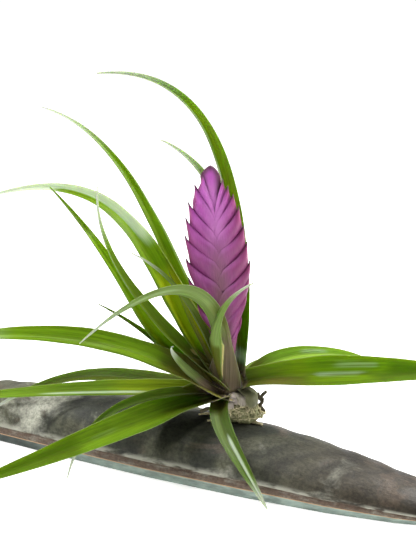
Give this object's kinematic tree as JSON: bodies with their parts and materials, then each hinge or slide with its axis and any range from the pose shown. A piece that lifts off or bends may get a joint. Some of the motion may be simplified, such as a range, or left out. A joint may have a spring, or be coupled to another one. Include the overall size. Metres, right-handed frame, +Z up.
{
  "type": "pink quill plant",
  "caption": "Bare-rooted air plant with long channelled leaves and one flat sword of two-ranked bracts, seated on a dried palm spathe.",
  "frame": {"origin": "centre of the bounding box on the surface that the spathe lies on", "axes": "+X along the spathe towards its narrower end, +Y across it towards the plant's back, +Z up"},
  "size_m": [0.502, 0.2928, 0.2966],
  "materials": {
    "leaf": "fresh green blade with a soft sheen, paler towards the tip",
    "bract": "orchid pink with darker tips, satin",
    "stem": "grey-brown dry leaf bases, matt",
    "roots": "tan dry root mass, matt",
    "spathe": "weathered grey with brown mottling, matt"
  },
  "bodies": {
    "root": {"spathe": "spathe", "stem": "stem", "root_clump": "roots", "flower_head": "bract", "leaf_crest": "leaf", "leaf_behind_head": "leaf", "leaf_back_high": "leaf", "leaf_back_left": "leaf", "leaf_upper_left": "leaf", "leaf_arched_left": "leaf", "leaf_front_arch": "leaf", "leaf_pale_short": "leaf", "leaf_front_hook": "leaf", "leaf_slender_left": "leaf", "leaf_slender_front": "leaf", "leaf_curled_tip": "leaf", "leaf_right_arched": "leaf", "leaf_dark_short": "leaf", "leaf_left_broad": "leaf", "leaf_back_low": "leaf", "leaf_left_drooping": "leaf", "leaf_right_broad": "leaf", "leaf_left_level": "leaf", "leaf_lower_narrow": "leaf", "leaf_lower_broad": "leaf", "leaf_front_hanging": "leaf"}
  },
  "joints": []
}
